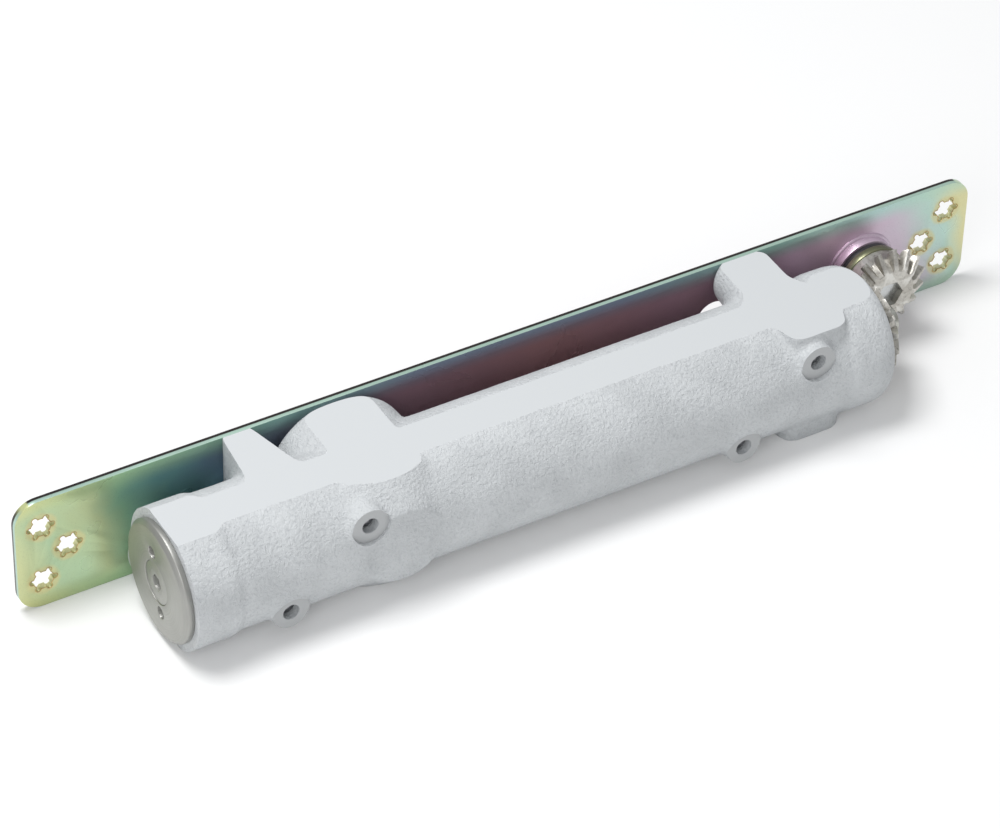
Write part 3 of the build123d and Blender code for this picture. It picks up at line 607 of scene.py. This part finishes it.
def pieceFrom(shape, name):
    mesh = bpy.data.meshes.new(name)
    closeMesh(shape, mesh)
    return linkMesh(name, mesh)


def readVectors(items, name):
    values = np.empty(len(items) * 3, np.float32)
    items.foreach_get(name, values)
    return values.reshape(-1, 3)


def weldedCopy(node, name):
    # CAD meshes are loose triangles, so a copy is merged before anything else is done to it.
    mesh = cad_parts[node].data.copy()
    shape = openMesh(mesh)
    bmesh.ops.remove_doubles(shape, verts=shape.verts, dist=meshSetup["weld"])
    closeMesh(shape, mesh)
    mesh.materials.clear()
    return linkMesh(name, mesh)


def softEdged(node, name, width):
    # A copy of a CAD piece with its sharp edges broken, which takes that piece's place.
    piece = weldedCopy(node, name)
    shape = openMesh(piece.data)
    flatAngle = math.radians(meshSetup["flatDegrees"])
    bmesh.ops.dissolve_limit(shape, angle_limit=flatAngle, verts=shape.verts, edges=shape.edges)
    closeMesh(shape, piece.data)
    bevel = piece.modifiers.new("brokenEdges", "BEVEL")
    bevel.width = width
    bevel.segments = meshSetup["edgeSegments"]
    bevel.limit_method = "ANGLE"
    bevel.angle_limit = math.radians(meshSetup["edgeDegrees"])
    bevel.use_clamp_overlap = True
    evaluated(piece)
    finishMesh(piece)
    return piece


def finishMesh(piece, sharpDegrees=34.0):
    shape = openMesh(piece.data)
    bmesh.ops.triangulate(shape, faces=shape.faces)
    closeMesh(shape, piece.data)
    piece.data.shade_smooth()
    piece.data.set_sharp_from_angle(angle=math.radians(sharpDegrees))


def dress(piece, material):
    piece.data.materials.clear()
    piece.data.materials.append(material)


# Casting: rough stock with cast fillets, then its machined faces are cut flat

castingShape = {
    "voxel": 0.0007,
    "snap": 0.00001,
    "smoothTurns": 20,
    "smoothFactor": 0.5,
    "waviness": 0.00005,
    "waveScales": (160.0, 420.0),
    "sharpDegrees": 40.0,
    "segments": 128,
    "bodyOutline": (
        (-0.1390, 0.0230), (-0.1220, 0.0230), (-0.1205, 0.0220), (0.0960, 0.0220), (0.0975, 0.0230),
        (0.1073, 0.0230), (0.1100, 0.02245), (0.1122, 0.0210), (0.1138, 0.0186), (0.1143, 0.0160),
    ),
    "bossPlace": (-0.0650, 0.0, 0.0),
    "bossOutline": (
        (-0.0520, 0.0130), (-0.0404, 0.0240), (-0.0080, 0.0240), (-0.0060, 0.0237), (-0.0046, 0.0227),
        (-0.0038, 0.0212), (-0.0034, 0.0192), (0.0, 0.0180),
    ),
    "discRadius": 0.0128,
    "discY": -0.0513,
    "blockCorners": (
        (0.0738, -0.0304), (0.0756, -0.0430), (0.0768, -0.0457), (0.0796, -0.0469), (0.0928, -0.0469),
        (0.0956, -0.0457), (0.0968, -0.0430), (0.0986, -0.0304),
    ),
    "blockHalf": 0.0225,
    "lugs": (
        # place along X, along Z, radius, height where the foot starts
        (-0.1270, -0.0114, 0.0094, -0.0148), (0.0832, 0.0146, 0.0107, -0.0180),
    ),
    "lugRound": 0.0024,
    "lugFlare": 0.0026,
    "lugFlareLength": 0.0060,
    "sideLugCorners": (
        (-0.1045, -0.0260), (-0.0865, -0.0260), (-0.0896, -0.0132), (-0.0920, -0.0040), (-0.0935, 0.0),
        (-0.1012, 0.0), (-0.1026, -0.0040),
    ),
    "sideLugHeights": (-0.0040, 0.0225),
    "ports": ((-0.0769, 0.0121), (-0.1040, -0.0112), (0.0831, 0.0126), (0.0570, -0.0118)),
    "portOutline": ((-0.0525, 0.0060), (-0.0478, 0.0060), (-0.0434, 0.0070), (-0.0398, 0.0094), (-0.0300, 0.0094)),
    "portFaceY": -0.0504,
    "portBore": 0.0028,
    "portDepth": 0.0051,
    "spotRadius": 0.0064,
    "spotStartY": -0.0560,
    "plugShare": 0.55,
    "plugGap": 0.00005,
    "seatPlace": (0.0745, 0.0),
    "seatRadius": 0.0046,
    "seatStubY": (-0.0300, -0.0060),
    "seatY": -0.00838,
    "seatSpotRadius": 0.0060,
    "seatSpotReach": 0.0040,
    "flatZ": 0.02099,
    "leftX": -0.13619,
    "rightX": 0.11425,
    "plateY": -0.00242,
    "onPlane": 0.000001,
    "valves": (-0.0730, -0.0570),
    "valveBore": 0.0036,
    "valveDepth": 0.0085,
    "valveStartY": 0.001,
    "mouthRadius": 0.01402,
    "mouthDepth": 0.0112,
    "mouthStart": 0.002,
}


def latheMesh(shape, outline, centre, axis, segments):
    # A closed solid turned from pairs of distance along the axis and radius, added to a bmesh.
    turn = mathutils.Vector(axis).to_track_quat("Z", "Y").to_matrix().to_4x4()
    place = mathutils.Matrix.Translation(centre) @ turn
    rings = []
    for along, radius in outline:
        ring = []
        for number in range(segments):
            angle = 2 * math.pi * number / segments
            spot = mathutils.Vector((radius * math.cos(angle), radius * math.sin(angle), along))
            ring.append(shape.verts.new(place @ spot))
        rings.append(ring)
    for first, second in zip(rings, rings[1:]):
        for number in range(segments):
            after = (number + 1) % segments
            shape.faces.new((first[number], first[after], second[after], second[number]))
    shape.faces.new(rings[0][::-1])
    shape.faces.new(rings[-1])


def prismMesh(shape, corners, low, high):
    # A closed prism along Z over corners given in X and Y.
    bottom = [shape.verts.new((x, y, low)) for x, y in corners]
    top = [shape.verts.new((x, y, high)) for x, y in corners]
    for number in range(len(corners)):
        after = (number + 1) % len(corners)
        shape.faces.new((bottom[number], bottom[after], top[after], top[number]))
    shape.faces.new(bottom[::-1])
    shape.faces.new(top)


def castingStock():
    size = castingShape
    shape = bmesh.new()
    latheMesh(shape, size["bodyOutline"], (0, axisY, 0), (1, 0, 0), size["segments"])
    latheMesh(shape, size["bossOutline"], size["bossPlace"], (0, 1, 0), size["segments"])
    prismMesh(shape, size["blockCorners"], -size["blockHalf"], size["blockHalf"])
    for x, z, radius, foot in size["lugs"]:
        latheMesh(shape, lugOutline(radius, foot), (x, 0, z), (0, 1, 0), 48)
    prismMesh(shape, size["sideLugCorners"], *size["sideLugHeights"])
    for x, z in size["ports"]:
        latheMesh(shape, size["portOutline"], (x, 0, z), (0, 1, 0), 64)
    x, z = size["seatPlace"]
    low, high = size["seatStubY"]
    latheMesh(shape, ((low, size["seatRadius"]), (high, size["seatRadius"])), (x, 0, z), (0, 1, 0), 48)
    piece = pieceFrom(shape, "castHousing")
    remesh = piece.modifiers.new("oneSkin", "REMESH")
    remesh.mode = "VOXEL"
    remesh.voxel_size = size["voxel"]
    evaluated(piece)
    pressDisc(piece.data)
    smooth = piece.modifiers.new("castFillets", "SMOOTH")
    smooth.factor = size["smoothFactor"]
    smooth.iterations = size["smoothTurns"]
    evaluated(piece)
    roughen(piece.data)
    return piece


def lugOutline(radius, foot):
    # A lug widens at its foot and is rounded where it meets the plate.
    size = castingShape
    bend = size["lugRound"]
    wide = radius + size["lugFlare"]
    outline = [(axisY, wide), (foot - size["lugFlareLength"], wide), (foot, radius)]
    for step in range(5):
        angle = math.radians(22.5 * step)
        outline.append((size["plateY"] - bend + bend * math.sin(angle), radius - bend + bend * math.cos(angle)))
    outline.append((0.0, radius - bend))
    return outline


def pressDisc(mesh):
    # The middle of the boss's front is a flat disc.
    size = castingShape
    spots = readVectors(mesh.vertices, "co")
    x, y, z = size["bossPlace"]
    onDisc = np.hypot(spots[:, 0] - x, spots[:, 2] - z) < size["discRadius"]
    spots[onDisc, 1] = np.maximum(spots[onDisc, 1], size["discY"])
    mesh.vertices.foreach_set("co", spots.ravel())


def roughen(mesh):
    # The casting's skin waves a little, along its own normals.
    size = castingShape
    spots = readVectors(mesh.vertices, "co")
    normals = readVectors(mesh.vertex_normals, "vector")
    broad, fine = size["waveScales"]
    noise = mathutils.noise.noise
    waves = []
    for spot in spots:
        where = mathutils.Vector(spot)
        waves.append(noise(where * broad) + 0.5 * noise(where * fine))
    spots += normals * np.array(waves, np.float32)[:, None] * size["waviness"]
    mesh.vertices.foreach_set("co", spots.ravel())


def cutFlat(shape, point, normal):
    # Cuts off what lies on the normal's side and closes the cut with a flat face.
    everything = list(shape.verts) + list(shape.edges) + list(shape.faces)
    result = bmesh.ops.bisect_plane(shape, geom=everything, dist=castingShape["snap"], plane_co=point,
                                    plane_no=normal, clear_outer=True)
    rim = [item for item in result["geom_cut"] if isinstance(item, bmesh.types.BMEdge)]
    onPlane = [item for item in result["geom_cut"] if isinstance(item, bmesh.types.BMVert)]
    direction = mathutils.Vector(normal)
    for vertex in onPlane:
        vertex.co -= direction * direction.dot(vertex.co - mathutils.Vector(point))
    bmesh.ops.holes_fill(shape, edges=rim, sides=0)


def boringTools():
    # Everything that is bored or spot-faced, as one mesh of separate rods.
    size = castingShape
    shape = bmesh.new()
    face = size["portFaceY"]
    bore = size["portBore"]
    spotRadius = size["spotRadius"]
    for x, z in size["ports"]:
        outline = ((size["spotStartY"], spotRadius), (face, spotRadius), (face, bore),
                   (face + size["portDepth"], bore))
        latheMesh(shape, outline, (x, 0, z), (0, 1, 0), 64)
    bore = size["valveBore"]
    for x in size["valves"]:
        outline = ((size["plateY"] - size["valveDepth"], bore), (size["valveStartY"], bore))
        latheMesh(shape, outline, (x, 0, 0), (0, 1, 0), 48)
    x, z = size["seatPlace"]
    face = size["seatY"]
    spotRadius = size["seatSpotRadius"]
    outline = ((face - size["valveDepth"], bore), (face, bore), (face, spotRadius),
               (face + size["seatSpotReach"], spotRadius))
    latheMesh(shape, outline, (x, 0, z), (0, 1, 0), 48)
    right = size["rightX"]
    bore = size["mouthRadius"]
    outline = ((right - size["mouthDepth"], bore), (right + size["mouthStart"], bore))
    latheMesh(shape, outline, (0, axisY, 0), (1, 0, 0), 96)
    return pieceFrom(shape, "boringTools")


def machineCasting(piece):
    size = castingShape
    shape = openMesh(piece.data)
    cutFlat(shape, (0, 0, size["flatZ"]), (0, 0, 1))
    cutFlat(shape, (0, 0, -size["flatZ"]), (0, 0, -1))
    cutFlat(shape, (size["leftX"], 0, 0), (-1, 0, 0))
    cutFlat(shape, (size["rightX"], 0, 0), (1, 0, 0))
    cutFlat(shape, (0, size["plateY"], 0), (0, 1, 0))
    bmesh.ops.remove_doubles(shape, verts=shape.verts, dist=meshSetup["weld"])
    bmesh.ops.recalc_face_normals(shape, faces=shape.faces)
    closeMesh(shape, piece.data)
    print("casting cut,", len(piece.data.polygons), "faces")
    tools = boringTools()
    bores = piece.modifiers.new("bores", "BOOLEAN")
    bores.operation = "DIFFERENCE"
    bores.solver = "EXACT"
    bores.object = tools
    evaluated(piece)
    bpy.data.objects.remove(tools)
    finishMesh(piece, size["sharpDegrees"])
    flattenPlanes(piece.data)
    print("casting bored,", len(piece.data.polygons), "faces")


def flattenPlanes(mesh):
    # Machined faces are shaded flat: every triangle that lies in one of the cutting planes.
    size = castingShape
    spots = readVectors(mesh.vertices, "co")
    corners = np.empty(len(mesh.loops), np.int32)
    mesh.loops.foreach_get("vertex_index", corners)
    corners = corners.reshape(-1, 3)
    smooth = np.ones(len(corners), bool)
    planes = ((2, size["flatZ"]), (2, -size["flatZ"]), (0, size["leftX"]), (0, size["rightX"]),
              (1, size["plateY"]), (1, size["portFaceY"]), (1, size["seatY"]))
    for axis, value in planes:
        inPlane = np.abs(spots[:, axis] - value) < size["onPlane"]
        smooth &= ~inPlane[corners].all(axis=1)
    mesh.polygons.foreach_set("use_smooth", smooth)


def makeBalls(materials):
    # The balls that close the ports sit at the bottom of each bore, pressed flatter than they were.
    size = castingShape
    radius = size["portBore"] - size["plugGap"]
    share = size["plugShare"]
    y = size["portFaceY"] + size["portDepth"] - radius * share
    shape = bmesh.new()
    for x, z in size["ports"]:
        place = mathutils.Matrix.Translation((x, y, z)) @ mathutils.Matrix.Diagonal((1, share, 1, 1))
        bmesh.ops.create_uvsphere(shape, u_segments=32, v_segments=20, radius=radius, matrix=place)
    piece = pieceFrom(shape, "portBalls")
    piece.data.shade_smooth()
    dress(piece, materials["ball"])
    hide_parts("ball_plugs")
    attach(piece, "closer_body")


def makeCasting(materials):
    piece = castingStock()
    machineCasting(piece)
    dress(piece, materials["casting"])
    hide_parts("housing")
    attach(piece, "closer_body")


# Pieces with broken edges: CAD node, new name, edge width, material, slot, body

edgedPieces = (
    ("mounting_plate", "facePlate", 0.00035, "plate", "passivated_zinc_plate", "closer_body"),
    ("end_cap", "springCap", 0.00018, "cap", "turned_steel", "closer_body"),
    ("adjusting_screw", "springScrew", 0.00012, "cap", "turned_steel", "adjuster"),
    ("bearing_retainer", "retainerRing", 0.0002, "turned", "turned_steel", "closer_body"),
    ("upper_bevel_gear", "upperGear", 0.00022, "gear", "gear_steel", "spindle_set"),
    ("lower_bevel_gear", "lowerGear", 0.00022, "gear", "gear_steel", "cam_set"),
    ("lower_gear_washer", "gearWasher", 0.00015, "screw", "zinc_screw", "cam_set"),
    ("lower_gear_screw", "gearScrew", 0.00015, "screw", "zinc_screw", "cam_set"),
    ("spindle", "outputSpindle", 0.00018, "spindle", "hard_steel", "spindle_set"),
    ("spindle_clip", "snapRing", 0.00012, "oxide", "black_steel", "spindle_set"),
    ("spindle_flange", "flangeRing", 0.0002, "flange", "passivated_zinc_flange", "spindle_set"),
    ("spindle_black_ring", "darkRing", 0.0002, "plastic", "black_plastic", "closer_body"),
    ("plate_screws", "plateScrews", 0.00012, "screw", "zinc_screw", "closer_body"),
)


def makeEdgedPieces(materials):
    for node, name, width, material, slot, body in edgedPieces:
        piece = softEdged(node, name, width)
        dress(piece, materials[material])
        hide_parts(node)
        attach(piece, body)
        print(name, len(piece.data.polygons), "faces")


# Main spring, cut into two halves

springSplit = {
    "splitX": -0.082,
    "seatEndX": -0.1075,
    "pistonEndX": -0.0240,
}


def makeSpring(materials):
    size = springSplit
    halves = (
        ("springSeatHalf", 1, "seat", "closer_body", size["seatEndX"], size["splitX"]),
        ("springPistonHalf", -1, "closer_body", "piston_set", size["splitX"], size["pistonEndX"]),
    )
    for name, side, first, second, start, end in halves:
        piece = weldedCopy("main_spring", name)
        shape = openMesh(piece.data)
        cutFlat(shape, (size["splitX"], 0, 0), (side, 0, 0))
        closeMesh(shape, piece.data)
        finishMesh(piece)
        dress(piece, materials["spring"])
        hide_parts("main_spring")
        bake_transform(piece)
        print(name, len(piece.data.polygons), "faces")


# Pieces that keep their CAD shape

keptPieces = {
    "ball": ("check_valve_ball",),
    "rubber": ("end_cap_seal", "adjusting_screw_seal", "piston_seal", "shaft_seal", "valve_seals"),
    "turned": ("spring_seat", "piston"),
    "brass": ("check_valve", "closing_valve_screw", "latching_valve_screw", "backcheck_valve_screw"),
    "ground": ("roller_pin", "rear_cam_roller", "front_cam_roller", "camshaft"),
    "bronze": ("thrust_washer", "inner_shaft_bush", "outer_shaft_bush", "spindle_bush"),
}


def dressKeptPieces(materials):
    for material, nodes in keptPieces.items():
        for node in nodes:
            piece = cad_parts[node]
            for slot in piece.material_slots:
                slot.material = materials[material]


# Rims of the star holes, as a Geometry Nodes group that puts one rim on every place

rimSetup = {
    "coreRadius": 0.0034,
    "lobeRadius": 0.00098,
    "lobePitch": 0.00375,
    "lobes": 6,
    "outlinePoints": 240,
    "sectionPoints": 8,
    "thickness": 0.00013,
    "faceY": -0.00238,
}


def starOutline():
    # Points on the edge of one star hole, in X and Z: a round core with a round lobe on each side.
    size = rimSetup
    pitch = size["lobePitch"]
    lobe = size["lobeRadius"]
    points = []
    for number in range(size["outlinePoints"]):
        angle = 2 * math.pi * number / size["outlinePoints"]
        direction = np.array((math.cos(angle), math.sin(angle)))
        reach = size["coreRadius"]
        for index in range(size["lobes"]):
            turn = 2 * math.pi * index / size["lobes"]
            centre = pitch * np.array((math.cos(turn), math.sin(turn)))
            along = float(direction @ centre)
            inside = along * along - pitch * pitch + lobe * lobe
            if inside > 0 and along > 0:
                reach = max(reach, along + math.sqrt(inside))
        points.append(direction * reach)
    return points


def meshOfPoints(name, spots, closed):
    mesh = bpy.data.meshes.new(name)
    edges = [(number, (number + 1) % len(spots)) for number in range(len(spots))] if closed else []
    mesh.from_pydata(spots, edges, [])
    return linkMesh(name, mesh)


def rimGroup():
    group = bpy.data.node_groups.new("rimOnEachPlace", "GeometryNodeTree")
    sockets = (("Places", "Geometry"), ("Outline", "Object"), ("Thickness", "Float"), ("Finish", "Material"))
    for name, kind in sockets:
        group.interface.new_socket(name, in_out="INPUT", socket_type="NodeSocket" + kind)
    group.interface.new_socket("Rims", in_out="OUTPUT", socket_type="NodeSocketGeometry")
    nodes = group.nodes
    link = group.links.new
    inside = nodes.new("NodeGroupInput").outputs
    outside = nodes.new("NodeGroupOutput").inputs
    shape = nodes.new("GeometryNodeObjectInfo")
    curve = nodes.new("GeometryNodeMeshToCurve")
    section = nodes.new("GeometryNodeCurvePrimitiveCircle")
    tube = nodes.new("GeometryNodeCurveToMesh")
    onPlaces = nodes.new("GeometryNodeInstanceOnPoints")
    realize = nodes.new("GeometryNodeRealizeInstances")
    finish = nodes.new("GeometryNodeSetMaterial")
    section.inputs["Resolution"].default_value = rimSetup["sectionPoints"]
    link(inside["Outline"], shape.inputs["Object"])
    link(inside["Thickness"], section.inputs["Radius"])
    link(shape.outputs["Geometry"], curve.inputs["Mesh"])
    link(curve.outputs["Curve"], tube.inputs["Curve"])
    link(section.outputs["Curve"], tube.inputs["Profile Curve"])
    link(inside["Places"], onPlaces.inputs["Points"])
    link(tube.outputs["Mesh"], onPlaces.inputs["Instance"])
    link(onPlaces.outputs["Instances"], realize.inputs["Geometry"])
    link(realize.outputs["Geometry"], finish.inputs["Geometry"])
    link(inside["Finish"], finish.inputs["Material"])
    link(finish.outputs["Geometry"], outside["Rims"])
    return group


def makeRims(materials):
    faceY = rimSetup["faceY"]
    places = meshOfPoints("starRims", [(x, faceY, z) for x, z in starPlaces()], False)
    outline = meshOfPoints("starOutline", [(float(x), 0.0, float(z)) for x, z in starOutline()], True)
    modifier = places.modifiers.new("rims", "NODES")
    modifier.node_group = rimGroup()
    values = {"Outline": outline, "Thickness": rimSetup["thickness"], "Finish": materials["rim"]}
    for item in modifier.node_group.interface.items_tree:
        if item.in_out == "INPUT" and item.name in values:
            modifier[item.identifier] = values[item.name]
    evaluated(places)
    bpy.data.objects.remove(outline)
    places.data.shade_smooth()
    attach(places, "closer_body")
    print("star rims", len(places.data.polygons), "faces")


# Floor

floorSetup = {
    "size": 6.0,
    "height": -0.0211,
    "colour": (0.86, 0.86, 0.86, 1),
    "roughness": 0.9,
    "whiteShare": 0.12,  # how much of the floor's white the camera sees without its shading
}


def makeFloor():
    place = mathutils.Matrix.Translation((0, 0, floorSetup["height"]))
    shape = bmesh.new()
    bmesh.ops.create_grid(shape, x_segments=2, y_segments=2, size=floorSetup["size"], matrix=place)
    floor = pieceFrom(shape, "studioFloor")
    material, tree, shader = newMaterial("paleFloor")
    shader.inputs["Base Color"].default_value = floorSetup["colour"]
    shader.inputs["Roughness"].default_value = floorSetup["roughness"]
    glow = tree.add("Emission", {"Color": (1, 1, 1, 1), "Strength": 1.0})
    path = tree.add("LightPath")
    share = tree.math("MULTIPLY", path.outputs["Is Camera Ray"], floorSetup["whiteShare"])
    mix = tree.add("MixShader", {0: share, 1: shader.outputs[0], 2: glow.outputs[0]})
    out = [node for node in tree.tree.nodes if node.type == "OUTPUT_MATERIAL"][0]
    tree.tree.links.new(mix.outputs[0], out.inputs["Surface"])
    dress(floor, material)


makeCamera()
makeLights()
makeFloor()
print("stage ready")
materials = makeMaterials()
print("materials ready")
dressKeptPieces(materials)
makeEdgedPieces(materials)
makeCasting(materials)
makeBalls(materials)
makeSpring(materials)
makeRims(materials)

bpy.context.scene.view_settings.view_transform = "Standard"
